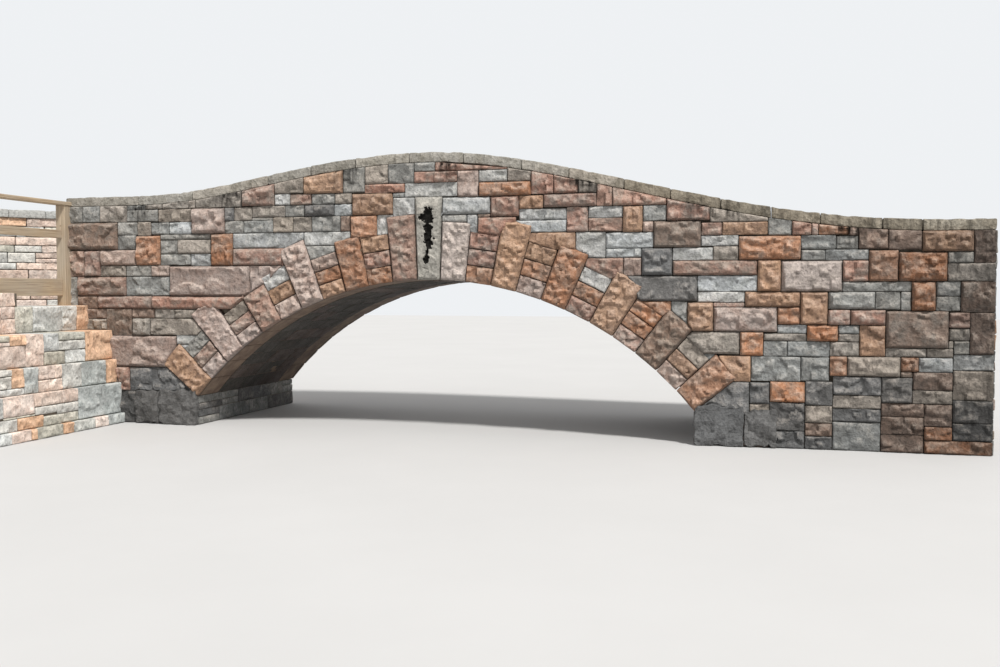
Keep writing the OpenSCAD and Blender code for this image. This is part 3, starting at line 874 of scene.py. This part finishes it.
def slab(low, high, rng, cell, bulge, rough_edge, rough_top):
    """A whole slab as a closed solid: u along it, v up, w across; its w edges are split."""
    bm = bmesh.new()
    bmesh.ops.create_cube(bm, size=1.0)
    for vert in bm.verts:
        vert.co = [a if c < 0 else b for a, b, c in zip(low, high, vert.co)]
    bmesh.ops.bevel(bm, geom=bm.edges[:], offset=0.007, affect="EDGES", segments=1,
                    profile=0.5, material=-1)
    for axis, pitch in ((0, cell), (1, cell * 0.8), (2, cell * 2.4)):
        count = max(int((high[axis] - low[axis]) / pitch), 1)
        normal = Vector([1.0 if i == axis else 0.0 for i in range(3)])
        for i in range(1, count):
            at = low[axis] + (high[axis] - low[axis]) * (i + rng.uniform(-0.2, 0.2)) / count
            slit(bm, normal * at, normal)
    bm.normal_update()
    seed = rng.uniform(0, 90)
    for vert in bm.verts:
        at = Vector(vert.co)
        out = vert.normal.copy()
        up = (at.y - low[1]) / (high[1] - low[1])
        broad = noise.noise(at * 8 + Vector((seed, 0, 0)))
        ridge = noise.noise(at * 26 + Vector((0, seed, 0)))
        edge = abs(out.z) * (bulge * 4 * up * (1 - up) + rough_edge * (broad + 0.6 * ridge))
        top = abs(out.y) * rough_top * (broad + 0.5 * ridge)
        vert.co += out * (edge + top + abs(out.x) * 0.003 * ridge)
        chip = max(noise.noise(at * 15 + Vector((0, 0, seed))) - 0.15, 0) * rough_edge * 2.5
        if abs(out.y) > 0.3 and abs(out.z) > 0.3:
            vert.co.y -= math.copysign(chip, out.y)
    return bm


def weathered(points):
    """Dark runs down the slab edges, thicker to the lower right end."""
    low_end = np.clip(points[:, 0] / 4, 0, 1)
    return 0.46 + 0.2 * low_end + 0.12 * np.sin(points[:, 0] * 6.3) * np.sin(points[:, 0] * 2.1)


def bridge_coping(name, names, rng):
    """The slabs of one parapet, in three tones from end to end."""
    masonry = Masonry()
    inner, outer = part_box(names[0])
    for node in names:
        for corners in islands(node):
            u0 = min(c.x for c in corners) - axis_x + 0.001
            u1 = max(c.x for c in corners) - axis_x - 0.001
            thick = max(c.z for c in corners if c.x < axis_x + u0 + 0.01) - under(u0 + 0.002)
            kind = "m" if u0 > DARKEST else "e" if u0 > PALEST else "c"
            low = (u0, 0.0, inner.y - face_y)
            high = (u1, thick, outer.y - face_y)
            masonry.lay(slab(low, high, rng, 0.032, 0.006, 0.008, 0.0025), kind, rng,
                        lambda u, v, w: Vector((axis_x + u, face_y + w, under(u) + v)),
                        bedded=False)
    piece = masonry.build(name, sandstone, weathered)
    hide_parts(*names)


rng = random.Random(23)
bridge_coping("front_coping_slabs", COPINGS, rng)
bridge_coping("back_coping_slabs", [name.replace("front", "back") for name in COPINGS], rng)


# Far side, parapet backs, ends and jambs. The same stone, as nothing of it shows in the
# picture: the far face in the courses of the shown one, the rest in random broken ones.
MIX = {"o": 3, "r": 4, "y": 2, "p": 4, "g": 4, "l": 3, "t": 4, "u": 2, "n": 1, "d": 1}
rng = random.Random(5)


def far(u, v, w):
    return Vector((axis_x + u, back_y + w, v))


far_wall = Masonry()
for block, kind in zip(blocks, kinds):
    if "*" not in kind:
        kind = pick(rng, low_mix if block[2] < 0.5 else MIX)
    far_wall.block(corners_of(*block), kind, rng, far, PLAIN, cut=trim)
far_wall.build("back_wall_stones", sandstone, drips_and_end_shade)
far_ring = Masonry()
lay_ring(far_ring, [f"back_{k}" for k in RING_KINDS], {f"back_{k}": v for k, v in RING_KINDS.items()},
         rng, far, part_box("back_long_stones_left")[0].y, PLAIN)
outline = ring_outline(islands("back_keystone")[0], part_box("back_keystone")[0].y)
far_ring.block(outline, "k*", rng, far, 0.03, joint=HAIR)
far_ring.build("back_ring_stones", sandstone)

parapet = Masonry()
height = under(0) - deck(0)
for y, side in ((face_y + wall_t, 1), (back_y - wall_t, -1)):
    parapet.fill(right_end - left_end, height, rng, MIX, lambda u, v, w: Vector((
        axis_x + left_end + u, y + side * w, deck(left_end + u) + v)), COARSE, flat=True)
parapet.build("parapet_back_stones", sandstone)

ends = Masonry()
for x, side in ((left_end, -1), (right_end, 1)):
    walls = [(0, wall_t, 0, under(x)), (wall_t, depth - wall_t, 0, deck(x))]
    if side > 0:
        walls.append((depth - wall_t, depth, 0, under(x)))
    for y0, y1, z0, z1 in walls:
        ends.fill(y1 - y0, z1 - z0, rng, MIX, lambda u, v, w: Vector((
            axis_x + x + side * w, face_y + u, v)), COARSE, (20, 40), (14, 18, 24), (y0, z0), flat=True)
for side in (-1, 1):
    ends.fill(depth, spring_z, rng, {"d": 3, "g": 2}, lambda u, v, w: Vector((
        axis_x + side * (half_span - w), face_y + u, v)), COARSE, (30, 50), (14, 16),
        lightness=0.8, flat=True)
ends.build("end_and_jamb_stones", sandstone)


# Barrel. Smooth tan courses running through the arch, dressed to the curve so that the joints
# show as fine lines along the soffit, laid at a third of their lightness as painted shade.
def under_arch(u, v, w):
    """A point of the soffit, u across the bridge, v along the arch, w in from it."""
    angle = v / radius - spring_angle
    return Vector((axis_x + (radius - w) * math.sin(angle), face_y + u,
                   centre_z + (radius - w) * math.cos(angle)))


soffit = Masonry()
arc = 2 * spring_angle * radius
courses = 29
for i in range(courses):
    u = wall_t
    while u < depth - wall_t - 0.01:
        u1 = u + rng.uniform(0.32, 0.6)
        if depth - wall_t - u1 < 0.2:
            u1 = depth - wall_t
        v0 = arc * i / courses
        kind = rng.choice("tttp")
        # painted shade: each course is laid at 0.3 of its lightness
        soffit.block(corners_of(u, u1, v0, v0 + arc / courses), kind, rng, under_arch, 0.05, 0.3,
                     lift=-0.004, flat=True)
        u = u1
soffit.build("soffit_courses", sandstone)


# Paving. Worn grey flagstones laid in three rows between the parapets, following the
# rise and fall of the path.
paving = Masonry()
rows = 3
# gap along the parapets and half the gap between two flags
GUTTER = 0.012
HALF_GAP = 0.005
inner = depth - 2 * wall_t
for row in range(rows):
    u = left_end
    while u < right_end - 0.01:
        u1 = u + rng.uniform(0.4, 0.8)
        if right_end - u1 < 0.3:
            u1 = right_end
        w0 = wall_t + GUTTER + (inner - 2 * GUTTER) * row / rows
        low = (u + HALF_GAP, -SINK, w0 + HALF_GAP)
        high = (u1 - HALF_GAP, 0.014, w0 + (inner - 2 * GUTTER) / rows - HALF_GAP)
        paving.lay(slab(low, high, rng, 0.09, 0.0, 0.003, 0.003), rng.choice("lgle"), rng,
                   lambda u, v, w: Vector((axis_x + u, face_y + w, deck(u) + v)), bedded=False)
        u = u1
paving.build("paving_flags", sandstone)


# Footings. Big rough blocks of dark wet stone under each end of the arch, standing
# forward of the face and left as they were quarried.
footings = Masonry()
foot_low, foot_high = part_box("right_footing")
foot_l = foot_high.x - foot_low.x
for side in (-1, 1):
    for a, b, top in ((0, 0.6, 1), (0.61, 1, 0.94)):
        edges = sorted((side * (half_span + foot_l * a), side * (half_span + foot_l * b)))
        low = (edges[0] + 0.004, 0.004, foot_low.y - face_y + 0.012)
        high = (edges[1] - 0.004, foot_high.z * top - 0.004, 0.02)
        footings.lay(slab(low, high, rng, 0.03, 0.016, 0.034, 0.018), "d", rng,
                     lambda u, v, w: Vector((axis_x + u, face_y + w, max(v, 0.001))), 1.05,
                     bedded=False)
piece = footings.build("footing_blocks", sandstone)
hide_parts("left_footing", "right_footing")


# Wing wall. Squared pale limestone in grey, cream and pink, hammer dressed and closely
# jointed, each course set back behind the one below.
KINDS["G"] = ("d7d6d1", "bab9b4", 20, 0.75)
KINDS["P"] = ("e0d1c6", "d2b9aa", 20, 0.8)
KINDS["O"] = ("deba9c", "cfa686", 24, 0.9)
KINDS["B"] = ("bec0bd", "a3a8a5", 20, 0.75)
KINDS["T"] = ("c6c2b6", "adaa9d", 20, 0.7)
# near and far end along the wall in cm in front of the face wall, bottom, top
WING = """
0 20 100 127 O;20 43 100 127 G;43 87 100 127 G;87 112 100 127 T;112 131 115 127 P
112 131 100 115 P;131 160 100 127 P;160 186 112 127 G;160 186 100 112 P;186 212 100 127 G
2 47 69 100 O;47 87 92 100 T;47 87 82 92 G;47 78 69 82 G;78 109 69 82 T;87 109 82 100 G
109 134 69 100 P;134 155 90 100 O;155 178 94 100 T;134 178 69 90 P;178 212 84 100 G
155 178 90 94 P;178 212 69 84 P
2 20 43 69 O;20 60 43 69 B;60 90 43 69 G;90 101 55 69 P;101 124 55 69 P;90 124 43 55 P
124 144 43 69 B;144 160 50 69 O;160 186 62 69 G;160 186 50 62 G;144 190 43 50 G;190 212 43 62 P
186 212 62 69 T
2 73 10 43 B;73 97 30 43 P;97 137 30 43 P;73 105 20 30 G;105 136 22 30 G;73 125 10 20 T
125 160 10 22 O;137 178 24 43 P;136 178 22 24 T;160 190 10 22 G;178 212 24 43 G;190 212 10 24 T
112 162 127 141 P;162 212 127 141 P
2 30 0 10 B;30 52 0 10 P;52 85 0 10 B;85 101 0 10 O;101 138 0 10 T;138 146 0 10 O
146 172 0 10 P;172 212 0 10 G
"""
limestone = split_stone("dressed_limestone_blocks", 0.88, 0.7, 6.0)
wing = Masonry()
wing_low, wing_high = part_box("wing_wall")
levels = {}
for c in islands("wing_wall")[0]:
    levels.setdefault(round(c.z, 3), []).append(c.x)
heights = sorted(levels)
faces = [max(levels[height]) for height in heights]
# how far the top of a block stands over the imported ledge of its course, and how near a
# listed edge has to lie to a course to be laid on it
LEDGE = 0.008
NEAR = 0.02
for a, b, z0, z1, kind in entries(WING):
    z0, z1 = int(z0) / 100, int(z1) / 100
    course = min(i for i in range(1, len(heights)) if z1 <= heights[i] + NEAR)
    base, upper = heights[course - 1], heights[course]
    if abs(z0 - base) < NEAR:
        z0 = base
    if abs(z1 - upper) < NEAR:
        z1 = upper
    if course == len(heights) - 1:
        reach = faces[course] - min(levels[upper]) + 0.01
    elif course == len(heights) - 2:
        reach = faces[course] - wing_low.x
    else:
        reach = faces[course] - faces[course + 1] + 0.06
    outline = corners_of(-int(b) / 100, -int(a) / 100, z0 + (LEDGE if z0 > 0 else 0), z1 + LEDGE)
    wing.block(outline, kind, rng, lambda u, v, w: Vector((faces[course] + w, face_y + u, v)), 0.026,
               sink=reach if z1 == upper else SINK)
for course in range(1, len(heights)):
    start = min(levels[heights[course]]) if course == len(heights) - 1 else wing_low.x
    span = faces[course] - start
    cuts = [0, 1]
    if span >= 0.8:
        cuts = [0, 0.3, 0.65, 1]
    elif span >= 0.3:
        cuts = [0, rng.uniform(0.4, 0.6), 1]
    for a, b in zip(cuts, cuts[1:]):
        kind = rng.choice("GPTBG")
        quoin = 0.014 if b == 1 else 0
        outline = corners_of(start + span * a, start + span * b + quoin,
                             heights[course - 1], heights[course])
        wing.block(outline, kind, rng, lambda u, v, w: Vector((u, wing_low.y - w, v)), 0.04)
wing.fill(wing_high.y - wing_low.y, heights[-2], rng, {"G": 3, "P": 2, "T": 2},
          lambda u, v, w: Vector((wing_low.x - w, wing_low.y + u, v)), 0.05, (25, 45), (20, 26),
          flat=True)
wing.build("wing_wall_stones", limestone)


# Approach wall. The same pale blocks with a split face, first straight on from the far
# parapet and then round a quarter circle, under a coping of flat light slabs.
curve_low, curve_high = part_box("approach_wall_curve")
lead_low, lead_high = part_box("approach_wall_lead")
bend = Vector((curve_high.x, curve_low.y, 0))
outer_r = curve_high.x - curve_low.x
inner_r = outer_r - wall_t
lead_l = lead_high.x - lead_low.x


def along_approach(u, reach):
    """A point on the approach wall's plan, u along its inner face, reach out from it."""
    if u < lead_l:
        return Vector((lead_high.x - u, lead_low.y + reach, 0))
    angle = math.pi / 2 + (u - lead_l) / inner_r
    return bend + Vector((math.cos(angle), math.sin(angle), 0)) * (inner_r + reach)


# the joints of this wall are a little wider
WIDE_JOINT = 0.008
approach = Masonry()
approach_l = lead_l + inner_r * math.pi / 2
pale_mix = {"P": 6, "G": 5, "T": 3, "O": 1, "B": 1}
for side in (0, 1):
    approach.fill(approach_l, lead_high.z, rng, pale_mix, lambda u, v, w: along_approach(
        u, wall_t + w if side else -w) + Vector((0, 0, v)), PLAIN, (30, 60), (9, 11, 13, 16),
        joint=WIDE_JOINT)
approach.fill(wall_t, lead_high.z, rng, pale_mix, lambda u, v, w: Vector((
    curve_low.x + u, curve_low.y - w, v)), COARSE, (35, 35), (14, 18, 22), joint=WIDE_JOINT)
approach.build("approach_wall_stones", limestone)

approach_top = Masonry()
cap_low, cap_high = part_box("approach_coping_lead")
over = lead_low.y - cap_low.y
edges = [0.0, lead_l] + [lead_l + inner_r * math.pi / 2 * (i + 1) / 5 for i in range(5)]
for a, b in zip(edges, edges[1:]):
    low = (a + 0.003, 0.0, -over)
    high = (b - 0.003, cap_high.z - cap_low.z, wall_t + over)
    approach_top.lay(slab(low, high, rng, 0.045, 0.008, 0.009, 0.004), "G", rng,
                     lambda u, v, w: along_approach(u, w) + Vector((0, 0, cap_low.z + v)),
                     bedded=False)
piece = approach_top.build("approach_coping_slabs", limestone)
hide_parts("approach_coping_lead", "approach_coping_curve")


# Fence. Sawn softwood gone slightly grey: two square posts, a flat cap board, a middle
# rail and a wide lower board with a batten on it, shown without the nails that hold them.
def wood_look(name, along):
    """Softwood with its grain along one direction."""
    material = blank(name)
    place = add(material, "TexCoord").outputs["Object"]
    stretch = [70.0, 70.0, 70.0]
    stretch[along] = 2.2
    lines = add(material, "Mapping", {"Scale": stretch}, {"Vector": place})
    grain = add(material, "TexNoise", {"Scale": 1.0, "Detail": 5.0, "Roughness": 0.6,
                "Distortion": 0.6}, {"Vector": lines})
    broad = add(material, "TexNoise", {"Scale": 2.2, "Detail": 3.0}, {"Vector": place})
    tone = add(material, "MapRange", {"From Min": 0.35, "From Max": 0.66}, {"Value": grain})
    age = add(material, "MapRange", {"From Min": 0.4, "From Max": 0.65, "To Max": 0.45},
              {"Value": broad})
    wood = add(material, "Mix", {6: (*linear("957f66"), 1), 7: (*linear("c1ad90"), 1)},
               {0: tone}, data_type="RGBA")
    weathered = add(material, "Mix", {7: (*linear("a39b90"), 1)},
                    {0: age, 6: wood.outputs[2]}, data_type="RGBA")
    knots = add(material, "TexVoronoi", {"Scale": 3.1, "Randomness": 1.0}, {"Vector": place})
    near = add(material, "MapRange", {"From Min": 0.03, "From Max": 0.055, "To Min": 0.9,
               "To Max": 0.0}, {"Value": knots})
    knotted = add(material, "Mix", {7: (*linear("6d4a2c"), 1)},
                  {0: near, 6: weathered.outputs[2]}, data_type="RGBA")
    bump = add(material, "Bump", {"Strength": 0.6, "Distance": 0.0012}, {"Height": grain})
    shader = add(material, "BsdfPrincipled", {"Roughness": 0.72, "IOR": 1.5},
                 {"Base Color": knotted.outputs[2], "Normal": bump})
    add(material, "OutputMaterial", links={"Surface": shader})
    return material


# softwood with its grain along the fence, and upright in the posts
rail_wood = wood_look("softwood_rails", 1)
post_wood = wood_look("softwood_posts", 2)


def sawn(name, boxes, material, node):
    """Sawn timber pieces with eased arrises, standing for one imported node."""
    bm = bmesh.new()
    for low, high in boxes:
        part = bmesh.new()
        bmesh.ops.create_cube(part, size=1.0)
        for vert in part.verts:
            vert.co = [a if c < 0 else b for a, b, c in zip(low, high, vert.co)]
        bmesh.ops.bevel(part, geom=part.edges[:], offset=0.004, affect="EDGES", segments=2,
                        profile=0.5, material=-1)
        join(bm, part)
    mesh = bpy.data.meshes.new(name)
    bm.to_mesh(mesh)
    bm.free()
    mesh.materials.append(material)
    piece = bpy.data.objects.new(name, mesh)
    bpy.context.scene.collection.objects.link(piece)
    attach(piece, "root")
    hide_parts(node)


def boxes_of(node):
    return [[[most(c[i] for c in corners) for i in range(3)] for most in (min, max)]
            for corners in islands(node)]


sawn("fence_post_timbers", boxes_of("fence_posts"), post_wood, "fence_posts")
for node in ("fence_cap", "fence_middle_rail", "fence_lower_board", "fence_batten"):
    sawn(node + "_timber", boxes_of(node), rail_wood, node)


# Stage. A plain pale floor at the foot of the walls, a soft studio sun and a pale backdrop
# that only the camera sees.
floor_look = grainy("pale_floor", "cac9c8", "cdcccb", 0.5, 0.9, 0.0)
bpy.ops.mesh.primitive_plane_add(size=90, location=(axis_x, 0, -0.002))
floor = bpy.context.object
floor.name = "floor"
floor.data.materials.append(floor_look)
world = bpy.data.worlds.new("studio")
bpy.context.scene.world = world
world.use_nodes = True
world.node_tree.nodes.clear()
soft = add(world, "Background", {"Color": (0.98, 0.99, 1.0, 1), "Strength": 0.6})
seen = add(world, "Background", {"Color": (0.86, 0.88, 0.9, 1)})
rays = add(world, "LightPath")
blend = add(world, "MixShader", links={0: rays.outputs["Is Camera Ray"], 1: soft, 2: seen})
add(world, "OutputWorld", links={"Surface": blend})
key = bpy.data.lights.new("key", "SUN")
key.energy = 3.4
key.angle = math.radians(7)
key.color = (1.0, 0.985, 0.955)
key_lamp = bpy.data.objects.new("key", key)
key_lamp.rotation_euler = Vector((-0.5, 0.5, -0.85)).to_track_quat("-Z", "Y").to_euler()
bpy.context.scene.collection.objects.link(key_lamp)

# Camera at the spot the picture was taken from, with its angle of view.
view = bpy.data.cameras.new("camera")
view.sensor_width = 36
view.lens = 36.72
camera = bpy.data.objects.new("camera", view)
camera.location = (axis_x + 3.39, face_y - 9.65, 1.445)
camera.rotation_euler = (math.radians(90 - 2.442), 0, math.radians(15.39))
bpy.context.scene.collection.objects.link(camera)
bpy.context.scene.camera = camera
bpy.context.scene.view_settings.view_transform = "Standard"
